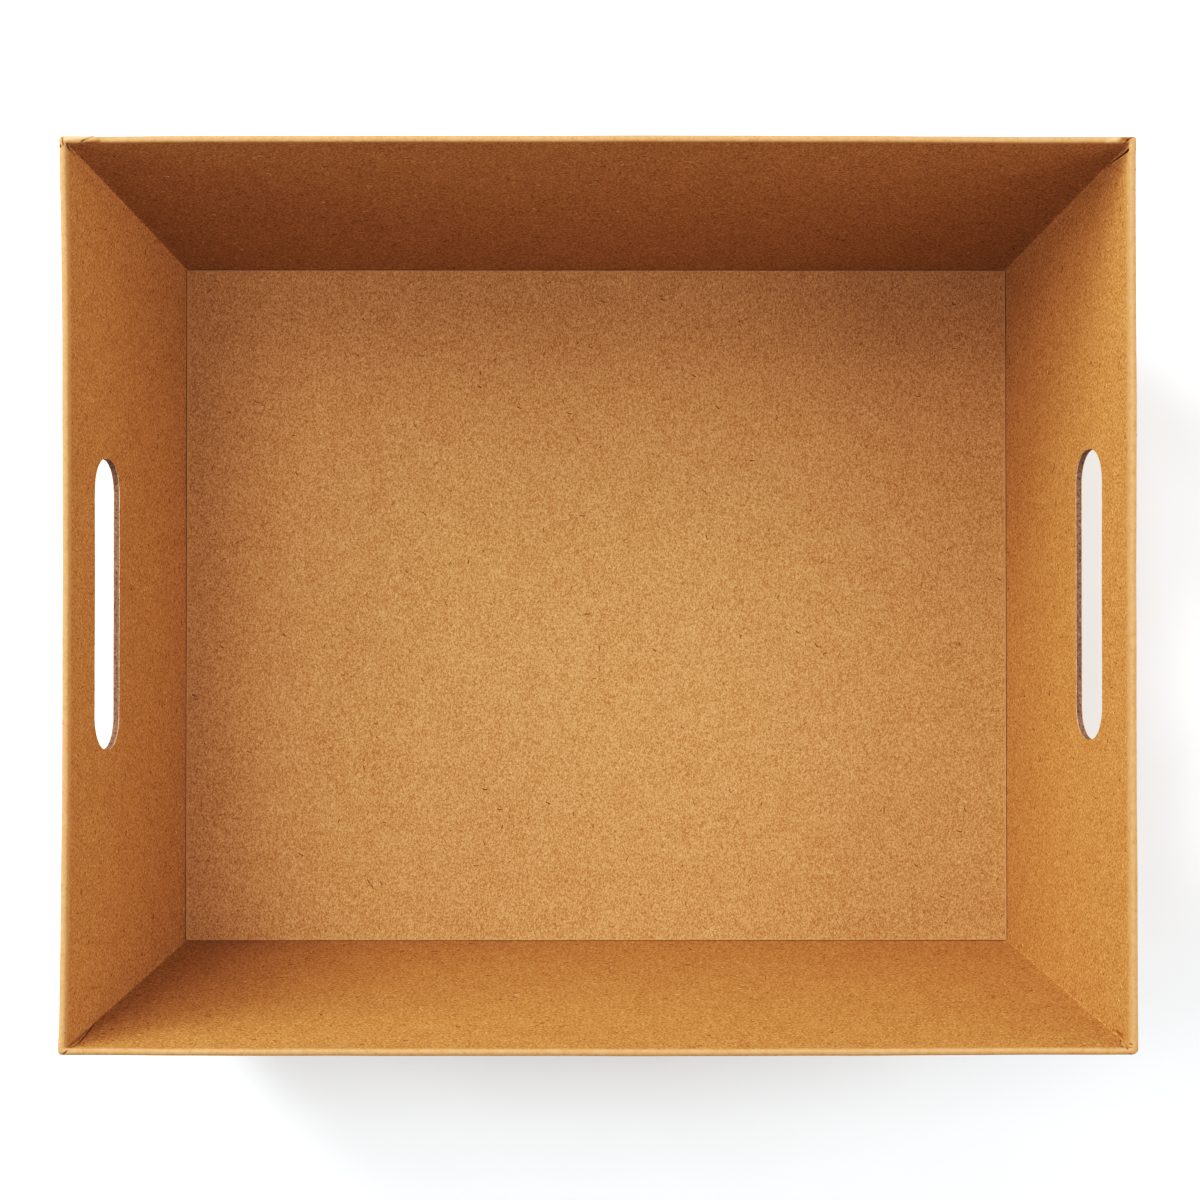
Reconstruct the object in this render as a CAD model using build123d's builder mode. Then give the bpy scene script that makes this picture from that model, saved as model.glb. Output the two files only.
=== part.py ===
"""A rigid cardboard tray box: a folded greyboard tray in a glued kraft paper wrap, with a paper
sheet on its floor. The four walls lean outwards and each end wall has a hand slot.

The origin is under the middle of the base, +Z is up, and the long sides run along X.
"""
from build123d import *
import os
from math import cos, radians, sin, tan

# Overall sizes (mm)
rim_width = 350.0  # outside, along X
rim_depth = 298.5  # outside, along Y
height = 120.0
wall_lean = 15.0  # degrees that each wall leans out from upright

# Sheet stock
board = 1.8
paper = 0.2

# Folds and edges, as radii on the outside of the paper
corner_round = 2.2  # where two walls meet
rim_round = 0.8  # each side of the rim
fold_round = 1.6  # where a wall meets the base
crease_round = 0.4  # inside corner between two walls
corner_seam = 0.4  # gap between the cut board edges that meet at a corner

# Hand slots, one in each end wall
slot_length = 96.0
slot_height = 25.0
slot_end_flat = 3.0  # straight part of each rounded end
slot_drop = 27.5  # down the wall from the rim to the slot
slot_shifts = {-1: -2.0, 1: 1.2}  # how far each slot sits from the middle, along Y

# Floor sheet
liner_gap = 0.4  # from the sheet's edge to the wall

# Worked out from the sizes above
lean = radians(wall_lean)
wall = board + 2 * paper
floor_top = paper + board  # the board's floor ends here and the floor sheet begins
rim_setback = rim_round * (1 / tan((radians(90) - lean) / 2) - 1)  # what the rounding takes off
over_rim = 10.0  # how far a cutting block stands above the rim


def inset(level, depth):
    """How far a wall's face is inside the sharp rim at a level, at a depth into the wall."""
    return (height - level) * tan(lean) + depth / cos(lean) - rim_setback


def tapered_block(depth, bottom, top, corner):
    """A solid block with the walls' lean, its sides at a depth inside the tray's outer faces."""
    profiles = ((Plane.XZ, rim_width, Mode.ADD), (Plane.YZ, rim_depth, Mode.INTERSECT))
    with BuildPart() as block:
        for plane, outside, mode in profiles:
            with BuildSketch(plane.shift_origin((0, 0, bottom))):
                Trapezoid(
                    outside - 2 * inset(top, depth),
                    top - bottom,
                    90 + wall_lean,
                    align=(Align.CENTER, Align.MIN),
                )
            extrude(amount=rim_width, both=True, mode=mode)
        corners = block.edges().filter_by(Axis.X, reverse=True).filter_by(Axis.Y, reverse=True)
        fillet(corners, corner)
    return block.part


def open_tray(depth, thickness, bottom, top):
    """A tapered tray with one thickness of wall, whose outer faces lie at a depth in the wall."""
    inner_depth = depth + thickness
    outer = tapered_block(depth, bottom, top, corner_round - depth)
    inner = tapered_block(inner_depth, floor_top, height + over_rim, crease_round + wall - inner_depth)
    with BuildPart() as tray:
        add(outer)
        add(inner, mode=Mode.SUBTRACT)
        fillet(tray.faces().sort_by(Axis.Z)[-1].edges(), rim_round - depth)
        fillet(tray.faces().sort_by(Axis.Z)[0].edges(), fold_round - depth)
    return tray.part


def slot_plane(side):
    """The outer face of an end wall, centred on its hand slot, with its normal pointing out."""
    down = slot_drop + slot_height / 2
    middle_level = height - down * cos(lean)
    middle = (side * (rim_width / 2 - inset(middle_level, 0)), slot_shifts[side], middle_level)
    return Plane(origin=middle, x_dir=(0, 1, 0), z_dir=(side * cos(lean), 0, -sin(lean)))


# The punch for both hand slots, square to the walls and through every layer
with BuildPart() as slot_punch:
    with BuildSketch(slot_plane(-1), slot_plane(1)):
        RectangleRounded(slot_length, slot_height, (slot_height - slot_end_flat) / 2)
    extrude(amount=2 * wall, both=True)

# The folded board before its corners are cut apart, which is also the space inside the wrap
folded_board = open_tray(paper, board, paper, height - paper)

with BuildPart() as greyboard_tray:
    add(folded_board)
    # The walls' cut edges meet along each corner in a hairline seam, down to the base
    base_corner_x = rim_width / 2 - inset(floor_top, wall)
    base_corner_y = rim_depth / 2 - inset(floor_top, wall)
    seam_reach = 2 * (inset(floor_top, wall) + corner_round)
    for side_x in (-1, 1):
        for side_y in (-1, 1):
            with BuildSketch(Plane.XY.offset(floor_top)):
                with Locations((side_x * base_corner_x, side_y * base_corner_y)):
                    Rectangle(2 * seam_reach, corner_seam, rotation=45 * side_x * side_y)
            extrude(amount=height, mode=Mode.SUBTRACT)
    add(slot_punch.part, mode=Mode.SUBTRACT)
greyboard_tray.part.label = "greyboard_tray"

with BuildPart() as kraft_wrap:
    add(open_tray(0, wall, 0, height))
    add(folded_board, mode=Mode.SUBTRACT)
    add(slot_punch.part, mode=Mode.SUBTRACT)
kraft_wrap.part.label = "kraft_wrap"

with BuildPart() as floor_liner:
    with BuildSketch(Plane.XY.offset(floor_top)):
        short_by = 2 * (inset(floor_top, wall) + liner_gap)
        Rectangle(rim_width - short_by, rim_depth - short_by)
    extrude(amount=paper)
floor_liner.part.label = "floor_liner"

os.makedirs("parts", exist_ok=True)
for piece in (greyboard_tray, kraft_wrap, floor_liner):
    export_step(piece.part, f"parts/{piece.part.label}.step")
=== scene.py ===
"""The looks of a cardboard tray box: folded greyboard in a glued kraft paper wrap, with two hand
slots and a paper sheet on its floor.

The file is laid out as a Blender add-on and is run as a script. Its operators build the board, the
wrap, the floor sheet, the paper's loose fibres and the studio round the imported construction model.
Lengths are in metres, and MM turns a figure in millimetres into metres.
"""

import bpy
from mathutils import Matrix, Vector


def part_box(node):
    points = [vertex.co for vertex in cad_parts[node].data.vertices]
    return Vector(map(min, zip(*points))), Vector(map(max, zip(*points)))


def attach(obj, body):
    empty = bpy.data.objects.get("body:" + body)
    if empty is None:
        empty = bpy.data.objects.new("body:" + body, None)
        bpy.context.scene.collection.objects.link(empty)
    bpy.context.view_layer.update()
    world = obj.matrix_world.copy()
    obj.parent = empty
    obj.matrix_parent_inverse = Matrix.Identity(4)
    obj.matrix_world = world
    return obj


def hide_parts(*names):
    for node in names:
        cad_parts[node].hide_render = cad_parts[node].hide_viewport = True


bl_info = {
    "name": "Cardboard Tray Box",
    "version": (1, 0, 0),
    "blender": (4, 5, 0),
    "location": "3D View > Sidebar > Tray Box",
    "description": "Builds a kraft wrapped greyboard tray with two hand slots",
    "category": "Add Mesh",
}

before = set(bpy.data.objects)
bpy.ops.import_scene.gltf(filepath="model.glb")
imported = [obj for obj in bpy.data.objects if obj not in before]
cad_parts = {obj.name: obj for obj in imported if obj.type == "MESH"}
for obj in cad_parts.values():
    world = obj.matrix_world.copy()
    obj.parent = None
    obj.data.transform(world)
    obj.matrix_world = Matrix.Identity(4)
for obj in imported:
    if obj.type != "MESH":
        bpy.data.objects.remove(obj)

import math

import bmesh
import bpy
import numpy as np
from bpy.props import FloatProperty, FloatVectorProperty, PointerProperty
from mathutils import Vector

MM = 0.001
SHARP_ANGLE = math.radians(32)
BODY = "root"
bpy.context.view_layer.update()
WRAP_LOW, WRAP_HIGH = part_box("kraft_wrap")
BOARD_LOW, BOARD_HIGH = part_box("greyboard_tray")
LINER_LOW, LINER_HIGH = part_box("floor_liner")

# The four corners, counter-clockwise from above, as the signs of x and y
CORNERS = ((1, 1), (-1, 1), (-1, -1), (1, -1))
CORNER_NAMES = ("back_right", "back_left", "front_left", "front_right")
BACK_RIGHT, BACK_LEFT, FRONT_LEFT, FRONT_RIGHT = range(4)

# Soft lights round the tray: name, place, side length, share of the power
SOFT_LIGHTS = (
    ("key_back_left", (-1.6, 1.7, 1.0), 1.0, 0.246),
    ("key_left_high", (-1.2, 1.3, 1.5), 1.2, 0.165),
    ("key_small", (-1.0, 1.1, 1.9), 0.5, 0.062),
    ("side_left_low", (-2.1, 0.0, 1.0), 1.0, 0.131),
    ("side_left_high", (-1.0, 0.0, 2.3), 0.8, 0.073),
    ("back", (0.0, 1.8, 1.6), 1.2, 0.038),
    ("fill_right", (1.8, 0.0, 1.6), 1.2, 0.152),
    ("fill_right_low", (2.2, 0.0, 0.7), 0.8, 0.133),
)

# The display's response: light in and light out, steep in the mid tones, with a soft shoulder
RESPONSE = (
    (0.05, 0.043), (0.1, 0.092), (0.18, 0.195), (0.28, 0.338),
    (0.4, 0.5), (0.55, 0.648), (0.7, 0.778), (0.85, 0.89),
)
WHITE_RESPONSE = 0.985


# ---------------------------------------------------------------- settings


def linear(hex_code):
    """An sRGB hex colour as linear red, green, blue and alpha."""
    channels = [int(hex_code[i : i + 2], 16) / 255 for i in (1, 3, 5)]
    return (*(c / 12.92 if c <= 0.04045 else ((c + 0.055) / 1.055) ** 2.4 for c in channels), 1.0)


def length(description, default):
    """A length property in metres."""
    return FloatProperty(description=description, default=default, unit="LENGTH", precision=5)


def colour(description, hex_code):
    """A colour property, from an sRGB hex value."""
    tone = linear(hex_code)
    return FloatVectorProperty(
        description=description, default=tone, size=4, min=0.0, max=1.0, subtype="COLOR"
    )


class TrayBoxSizes(bpy.types.PropertyGroup):
    """The sizes of the tray, its sheet stock and its small deformations."""

    width: length("Outside width of the rim, along X", WRAP_HIGH.x - WRAP_LOW.x)
    depth: length("Outside depth of the rim, along Y", WRAP_HIGH.y - WRAP_LOW.y)
    height: length("Height of the rim above the table", WRAP_HIGH.z)
    paper: length("Thickness of the kraft paper", BOARD_LOW.z)
    board: length("Thickness of the greyboard", LINER_LOW.z - BOARD_LOW.z)
    lean: FloatProperty(
        description="How far each wall leans out", default=math.radians(15), subtype="ANGLE"
    )
    rounds: FloatVectorProperty(
        description="Outside radii of the corners, counter-clockwise from the back right one",
        default=(0.9 * MM, 1.0 * MM, 1.7 * MM, 2.2 * MM),
        size=4,
        unit="LENGTH",
        precision=5,
    )
    crease_round: length("Inside radius where two walls meet", 0.4 * MM)
    fold_round: length("Outside radius where a wall meets the base", 1.6 * MM)
    rim_crown: length("How high the rim's rounding is", 0.9 * MM)
    seam: length("Gap between the board's cut edges in a corner", 0.4 * MM)
    slot_length: length("Length of a hand slot", 96 * MM)
    slot_height: length("Height of a hand slot along the wall", 25 * MM)
    slot_end_flat: length("Straight part of a slot's rounded end", 3 * MM)
    slot_drop: length("Distance down the wall from the rim to a slot", 27.5 * MM)
    left_slot_shift: length("How far the left slot sits from the middle", -2 * MM)
    right_slot_shift: length("How far the right slot sits from the middle", 1.2 * MM)
    left_bow: length("How far the left wall's rim bows in", 1.5 * MM)
    right_bow: length("How far the right wall's rim bows in", 0.45 * MM)
    back_flare: length("How far the back rim stands out past its corners", 0.5 * MM)
    front_flare: length("How far the front rim stands out past its corners", 0.45 * MM)
    corner_draw: length("How far the glued pleats draw the corners in", 0.2 * MM)
    buckle: length("Height of the slow waves in the walls", 0.10 * MM)


class TrayBoxFinish(bpy.types.PropertyGroup):
    """The colours of the paper and the board."""

    kraft: colour("Unbleached kraft paper", "#9F7546")
    liner: colour("The paler kraft paper of the floor sheet", "#AB8357")
    light_share: FloatVectorProperty(
        description="Times the paper's colour where the pulp is thin", default=(1.46, 1.68, 2.3)
    )
    deep_share: FloatVectorProperty(
        description="Times the paper's colour where the pulp is dense", default=(0.58, 0.44, 0.2)
    )
    kraft_pale: colour("Paper fibres broken open at a fold or a cut edge", "#B08C68")
    bark: colour("Dark specks of bark in the paper", "#50300F")
    smudge: colour("Paper rubbed brown by a corner", "#7A4A22")
    # Pale paper for the loose fibres and rubbed patches, and the painted highlight on the lit edges of
    # pleats and creases
    pale_paper_and_highlight: colour("The light edge of a folded sheet", "#C0A37C")
    # Painted shadow: the dark lines under the pleats' lifted edges and in their creases, gaps and
    # notches
    painted_fold_shadow: colour("The dark line under the edge of a folded sheet", "#3C1D0A")
    greyboard: colour("Waste paper board at a cut edge", "#786155")
    greyboard_deep: colour("Dark specks in the board", "#4A372D")


class TrayBoxStudio(bpy.types.PropertyGroup):
    """The studio: the camera, the lights and the floor."""

    camera_place: FloatVectorProperty(
        description="Where the camera stands",
        default=(-9.2 * MM, -53.9 * MM, 1920 * MM),
        subtype="TRANSLATION",
        unit="LENGTH",
    )
    camera_turn: FloatVectorProperty(
        description="How the camera is tilted off straight down",
        default=[math.radians(angle) for angle in (1.659, -0.312, -0.012)],
        subtype="EULER",
    )
    lens_mm: FloatProperty(description="Focal length in mm, on a 36 mm sensor", default=166.9)
    light_power: FloatProperty(description="Power of all the lights", default=149, subtype="POWER")
    sky_strength: FloatProperty(description="Strength of the even light all round", default=0.585)
    contrast: FloatProperty(description="Display gamma; lower is stronger", default=0.75)
    floor_colour: colour("Plain pale floor", "#F0F6FA")


# ---------------------------------------------------------------- the tray's form


class TrayForm:
    """Where each point of the tray lies, worked out from its sizes.

    A wall's cross-section is drawn in two ways: by the rise up its outer face and the depth into the
    wall, or by the inset from the rim's outline and the level above the table.
    """

    # Cells along the walls, steps round the corners, and steps along the parts of the cross-section
    long_cells, short_cells = 112, 96
    slot_steps = 12
    corner_steps, fold_steps, outer_steps, rim_steps, inner_steps = 6, 5, 26, 14, 36
    close_rows = (0.7, 1.5, 2.5, 3.6, 5.2)  # mm down the inside, where the worn paper fades out
    even_rows_start = 7 * MM
    least_round = 0.05 * MM

    # The bows: how they grow with height and die away from the walls, how flat each one is, and how
    # far its middle is moved along the wall, as a share of half the wall
    height_power, wall_power, corner_power = 1.3, 4, 5
    left_flatness, right_flatness, flare_flatness = 3.2, 2.0, 2.4
    left_shift, right_shift, right_narrowing = 0.08, 0.45, 1.25

    # The waves: the share of half a wall in which they die away at its ends, how far along the long
    # walls' waves start, and each wave's share, wavelength, slant and phase
    calm_share = 0.12
    long_wall_start = 0.7
    board_waves = (
        (0.5, 170 * MM, 0.5, 0.4),
        (0.3, 74 * MM, -0.8, 2.1),
        (0.2, 38 * MM, 1.4, 4.4),
    )

    def __init__(self, sizes):
        self.sizes = sizes
        self.half_width = sizes.width / 2
        self.half_depth = sizes.depth / 2
        self.sin, self.cos = math.sin(sizes.lean), math.cos(sizes.lean)
        self.wall = sizes.board + 2 * sizes.paper
        self.floor = sizes.board + sizes.paper
        half_edge = self.wall / 2
        reach = math.hypot(sizes.rim_crown * self.cos, half_edge * self.sin)
        self.shoulder = (sizes.height - half_edge * self.sin - reach) / self.cos
        widest = math.hypot(sizes.rim_crown * self.sin, half_edge * self.cos)
        self.foot = self.shoulder * self.sin + widest - half_edge * self.cos
        self.slot_radius = (sizes.slot_height - sizes.slot_end_flat) / 2
        self.rounds = list(sizes.rounds)

    def place(self, rise, depth):
        """The inset and the level of a point in a wall's cross-section."""
        return self.foot - rise * self.sin + depth * self.cos, rise * self.cos + depth * self.sin

    def rise_at(self, level, depth):
        """The rise of the point at a level and a depth."""
        return (level - depth * self.sin) / self.cos

    def corner_radius(self, corner, depth):
        """A corner's radius in plan: round outside, a tight crease inside."""
        share = np.clip(depth / self.wall, 0, 1)
        return self.rounds[corner] + (self.sizes.crease_round - self.rounds[corner]) * share

    def section(self, peel):
        """A cross-section from the base fold over the rim to the inner foot, a peel below the skin.

        Each row holds the inset, the level and the depth of a point.
        """
        sizes = self.sizes
        fold = sizes.fold_round
        fold_rise = self.rise_at(fold, fold)
        fold_inset, fold_level = self.place(fold_rise, fold)
        rows = []
        for turn in np.linspace(0, math.pi / 2 - sizes.lean, self.fold_steps):
            in_by, down_by = (fold - peel) * math.sin(turn), (fold - peel) * math.cos(turn)
            rows.append((fold_inset - in_by, fold_level - down_by, peel))
        for rise in np.linspace(fold_rise, self.shoulder, self.outer_steps + 1)[1:-1]:
            rows.append((*self.place(rise, peel), peel))
        middle = self.wall / 2
        for turn in np.linspace(0, math.pi, self.rim_steps + 1):
            depth = middle - (middle - peel) * math.cos(turn)
            rise = self.shoulder + (sizes.rim_crown - peel) * math.sin(turn)
            rows.append((*self.place(rise, depth), depth))
        inner = self.wall - peel
        top = self.shoulder - self.even_rows_start
        close = [self.shoulder - drop * MM for drop in self.close_rows]
        even = np.linspace(top, self.rise_at(self.floor, inner), self.inner_steps)
        for rise in (*close, *even):
            rows.append((*self.place(rise, inner), inner))
        return np.array(rows)

    def ring(self, inset, level, depth):
        """The points of a level ring round the tray, counter-clockwise from the right back corner."""
        arcs = []
        for number, (side_x, side_y) in enumerate(CORNERS):
            radius = self.corner_radius(number, depth)
            turns = math.pi / 2 * (number + np.linspace(0, 1, self.corner_steps + 1))
            x = side_x * (self.half_width - inset - radius) + radius * np.cos(turns)
            y = side_y * (self.half_depth - inset - radius) + radius * np.sin(turns)
            arcs.append(np.column_stack([x, y]))
        parts = []
        for number, arc in enumerate(arcs):
            cells = (self.long_cells, self.short_cells)[number % 2]
            shares = np.linspace(0, 1, cells + 1)[1:-1, None]
            following = arcs[(number + 1) % 4][0]
            parts += [arc, arc[-1] + (following - arc[-1]) * shares]
        outline = np.concatenate(parts)
        return np.column_stack([outline, np.full(len(outline), level)])

    def rings(self, peel):
        """The rings of a skin, one for each row of its cross-section."""
        return [self.ring(*row) for row in self.section(peel)]

    def skin(self, corner, across, along, lift):
        """Points on the wrap's skin by a corner, as an array.

        across is the distance round the corner, counter-clockwise. along is the distance from the top
        of the rim, down the inside where it is positive. lift is the height above the skin.
        """
        rows = self.section(0)
        steps = np.hypot(*np.diff(rows[:, :2], axis=0).T)
        travel = np.concatenate([[0], np.cumsum(steps)])
        top = rows[:, 1].argmax()
        travel -= travel[top]
        slope = np.gradient(rows[:, :2], travel, axis=0)
        slope /= np.linalg.norm(slope, axis=1)[:, None]
        given = (np.asarray(value, float) for value in (across, along, lift))
        across, along, lift = np.broadcast_arrays(*given)
        inset, level, depth = (np.interp(along, travel, column) for column in rows.T)
        normal_inset = np.interp(along, travel, -slope[:, 1])
        normal_level = np.interp(along, travel, slope[:, 0])
        inset = inset + lift * normal_inset
        level = level + lift * normal_level
        radius = self.corner_radius(corner, depth) - lift * normal_inset
        radius = np.maximum(radius, self.least_round)
        side_x, side_y = CORNERS[corner]
        start = math.pi / 2 * corner
        half_arc = radius * math.pi / 4
        past = np.maximum(np.abs(across) - half_arc, 0) * np.sign(across)
        turn = start + math.pi / 4 + (across - past) / radius
        cos, sin = np.cos(turn), np.sin(turn)
        x = side_x * (self.half_width - inset - radius) + radius * cos - past * sin
        y = side_y * (self.half_depth - inset - radius) + radius * sin + past * cos
        return np.stack([x, y, level], axis=-1)

    def depth_at(self, points):
        """How deep in their wall points are, before the tray has settled."""
        from_x, from_y = self.half_width - np.abs(points[:, 0]), self.half_depth - np.abs(points[:, 1])
        return (np.minimum(from_x, from_y) - self.foot) * self.cos + points[:, 2] * self.sin

    def on_end_walls(self, points):
        """Whether points are by the left or the right wall, more than by the back or the front."""
        x, y = np.abs(points[:, 0]), np.abs(points[:, 1])
        return x / self.half_width > y / self.half_depth

    def bow(self, position, flatness, middle, ends):
        """How far in a wall's rim lies, at a position from -1 to 1 along it."""
        share = np.clip(np.abs(position), 0, 1) ** flatness
        return middle * (1 - share) + ends * share

    def settle(self, points):
        """Moves points with the bows and slow waves that the finished tray's walls have."""
        sizes = self.sizes
        shape = np.shape(points)
        x, y, z = np.reshape(points, (-1, 3)).T
        u, v = x / self.half_width, y / self.half_depth
        rise = np.clip(z / sizes.height, 0, 1.05) ** self.height_power
        near_side = np.clip(np.abs(u), 0, 1) ** self.wall_power * rise
        near_end = np.clip(np.abs(v), 0, 1) ** self.wall_power * rise
        draw = sizes.corner_draw
        right_position = v * self.right_narrowing + self.right_shift
        left = self.bow(v + self.left_shift, self.left_flatness, sizes.left_bow, draw)
        right = self.bow(right_position, self.right_flatness, sizes.right_bow, draw)
        back = self.bow(u, self.flare_flatness, 0, sizes.back_flare)
        front = self.bow(u, self.flare_flatness, 0, sizes.front_flare)
        side_wave = self.waves(y, z) * self.calm(v)
        end_wave = self.waves(x + self.long_wall_start, z) * self.calm(u)
        x_in = np.where(u < 0, left + side_wave, right + side_wave)
        y_in = np.where(v < 0, front + end_wave, back + end_wave)
        dip = draw * np.clip(np.abs(u * v), 0, 1) ** self.corner_power * rise
        x_moved, y_moved = x - np.sign(u) * x_in * near_side, y - np.sign(v) * y_in * near_end
        return np.column_stack([x_moved, y_moved, z - dip]).reshape(shape)

    def calm(self, position):
        """1 along a wall, falling to 0 at its ends."""
        return np.clip((1 - np.abs(position)) / self.calm_share, 0, 1)

    def waves(self, run, up):
        """Slow buckling of board as it dries under glued paper: crossing waves, inwards only."""
        total = 0.0
        for share, wavelength, slant, phase in self.board_waves:
            total = total + share * np.sin(2 * math.pi * (run + slant * up) / wavelength + phase)
        return self.sizes.buckle * (1 + total)


# ---------------------------------------------------------------- mesh helpers


def add_object(name, data):
    """A new object in the scene, at the origin."""
    thing = bpy.data.objects.new(name, data)
    bpy.context.scene.collection.objects.link(thing)
    return thing


def mesh_object(name, points, faces):
    """A mesh object, from points and faces."""
    mesh = bpy.data.meshes.new(name)
    mesh.from_pydata(np.asarray(points).tolist(), [], faces)
    mesh.update()
    return add_object(name, mesh)


def flat_sheet(name, low, high, level):
    """A flat rectangle that faces up, between two corners given as x and y."""
    corners = ((low[0], low[1]), (high[0], low[1]), (high[0], high[1]), (low[0], high[1]))
    return mesh_object(name, [(*corner, level) for corner in corners], [(0, 1, 2, 3)])


def tube_faces(rings, first=0, close_end=True):
    """The faces of a skin through rings of points from a first one on, with one or two flat ends."""
    count = len(rings[0])
    starts = [first + row * count for row in range(len(rings))]
    sides = [(i, (i + 1) % count) for i in range(count)]
    faces = [
        (here + i, here + j, above + j, above + i)
        for here, above in zip(starts, starts[1:])
        for i, j in sides
    ]
    faces.append(tuple(reversed(range(first, first + count))))
    if close_end:
        faces.append(tuple(range(starts[-1], starts[-1] + count)))
    return faces


def loft(name, rings, close_end):
    """An object with a skin through rings of the same number of points."""
    return mesh_object(name, np.concatenate(rings), tube_faces(rings, close_end=close_end))


def closed_tubes(name, tubes):
    """One object of closed tubes, each a list of loops, with its faces turned outwards."""
    points, faces = [], []
    for loops in tubes:
        faces += tube_faces(loops, len(points))
        points += [point for loop in loops for point in loop]
    thing = mesh_object(name, points, faces)
    turn_outwards(thing.data)
    return thing


def turn_outwards(mesh):
    """Makes every face of a closed mesh point outwards."""
    work = bmesh.new()
    work.from_mesh(mesh)
    bmesh.ops.recalc_face_normals(work, faces=work.faces)
    work.to_mesh(mesh)
    work.free()


def discard(thing):
    """Removes an object with its mesh."""
    mesh = thing.data
    bpy.data.objects.remove(thing)
    bpy.data.meshes.remove(mesh)


def bake_modifiers(thing):
    """Replaces an object's mesh with the result of its modifiers, which are then removed."""
    graph = bpy.context.evaluated_depsgraph_get()
    graph.update()
    result = bpy.data.meshes.new_from_object(thing.evaluated_get(graph))
    thing.modifiers.clear()
    spare, thing.data = thing.data, result
    result.name = thing.name
    bpy.data.meshes.remove(spare)


def modify(thing, kind, **settings):
    """Changes an object's mesh by a modifier, which isn't kept."""
    modifier = thing.modifiers.new(kind.title(), kind)
    for name, value in settings.items():
        setattr(modifier, name, value)
    bake_modifiers(thing)


def cut(thing, cutter):
    """Cuts one object out of another, and removes the cutter."""
    modify(thing, "BOOLEAN", operation="DIFFERENCE", solver="EXACT", object=cutter)
    if not thing.data.polygons:
        raise RuntimeError(f"cutting {thing.name} left nothing")
    discard(cutter)


def join_mesh(thing, extra):
    """Adds another object's mesh to an object as separate shells, and removes the other object."""
    work = bmesh.new()
    work.from_mesh(thing.data)
    work.from_mesh(extra.data)
    work.to_mesh(thing.data)
    work.free()
    discard(extra)


def finish_piece(thing, materials, node):
    """Shades a finished piece, gives it its materials and puts it on the frame."""
    mesh = thing.data
    mesh.materials.clear()
    for material in materials:
        mesh.materials.append(material)
    mesh.shade_smooth()
    mesh.set_sharp_from_angle(angle=SHARP_ANGLE)
    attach(thing, BODY)
    if node:
        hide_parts(node)


def paint(mesh, name, values):
    """Writes a value for each point of a mesh, for its material or its fibres to read."""
    layer = mesh.attributes.new(name, "FLOAT", "POINT")
    layer.data.foreach_set("value", np.asarray(values, np.float32))


def read_vectors(items, attribute):
    """A vector of each point or each face of a mesh, as an array."""
    flat = np.empty(len(items) * 3, np.float32)
    items.foreach_get(attribute, flat)
    return flat.reshape(-1, 3).astype(float)


def settle_mesh(form, mesh):
    """Moves a mesh's points with the walls' bows and waves."""
    points = form.settle(read_vectors(mesh.vertices, "co"))
    mesh.vertices.foreach_set("co", points.astype(np.float32).ravel())
    mesh.update()


# ---------------------------------------------------------------- cutting tools


def slot_axes(form, side):
    """The middle of a hand slot on the wall's outer face, the way out of the wall and the way up it."""
    sizes = form.sizes
    down = sizes.slot_drop + sizes.slot_height / 2
    rise = form.shoulder + (sizes.rim_crown - down)
    inset, level = form.place(rise, 0)
    shift = sizes.left_slot_shift if side < 0 else sizes.right_slot_shift
    middle = np.array([side * (form.half_width - inset), shift, level])
    outward = np.array([side * form.cos, 0, -form.sin])
    upward = np.array([side * form.sin, 0, form.cos])
    return middle, outward, upward


def slot_edge_faces(form, mesh):
    """The numbers of the faces that the two slots cut in the thickness of a sheet."""
    sizes, radius = form.sizes, form.slot_radius
    middles, normals = (read_vectors(mesh.polygons, name) for name in ("center", "normal"))
    found = np.zeros(len(middles), bool)
    for side in (-1, 1):
        middle, outward, upward = slot_axes(form, side)
        offset = middles - middle
        past_run = np.abs(offset[:, 1]) - (sizes.slot_length / 2 - radius)
        past_rise = np.abs(offset @ upward) - (sizes.slot_height / 2 - radius)
        off_round = np.hypot(np.maximum(past_run, 0), np.maximum(past_rise, 0)) - radius
        off_outline = np.minimum(np.maximum(past_run, past_rise), 0) + off_round
        in_wall = (np.abs(offset @ outward) < 2 * form.wall) & (np.abs(normals @ outward) < 0.4)
        found |= in_wall & (np.abs(off_outline) < 0.15 * MM)
    return np.flatnonzero(found)


def slot_tubes(form):
    """The punches of the hand slots: rounded outlines pushed square through the leaning walls."""
    sizes, radius = form.sizes, form.slot_radius
    tubes = []
    for side in (-1, 1):
        middle, outward, upward = slot_axes(form, side)
        outline = []
        for number, (side_y, side_up) in enumerate(CORNERS):
            for turn in math.pi / 2 * (number + np.linspace(0, 1, form.slot_steps + 1)):
                run = side_y * (sizes.slot_length / 2 - radius) + radius * math.cos(turn)
                up = side_up * (sizes.slot_height / 2 - radius) + radius * math.sin(turn)
                outline.append(middle + run * np.array([0, 1, 0]) + up * upward)
        ends = (-3 * form.wall, 2 * form.wall)
        tubes.append([[point + reach * outward for point in outline] for reach in ends])
    return tubes


def seam_tube(form, corner):
    """The hairline seam between the cut edges of the board in one corner."""
    signs = np.array([*CORNERS[corner], 0])
    inner_inset, level = form.place(form.rise_at(form.floor, form.wall), form.wall)
    foot = np.array([form.half_width - inner_inset, form.half_depth - inner_inset, 0]) * signs
    outward = signs * form.foot * 2
    aside = np.array([-signs[1], signs[0], 0]) / math.sqrt(2) * form.sizes.seam / 2
    start = foot - outward * 0.2  # a little inside the corner, so that the whole wall is cut
    loop = [start - aside, foot + outward - aside, foot + outward + aside, start + aside]
    return [[point + (0, 0, z) for point in loop] for z in (level, form.sizes.height * 1.1)]


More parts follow.
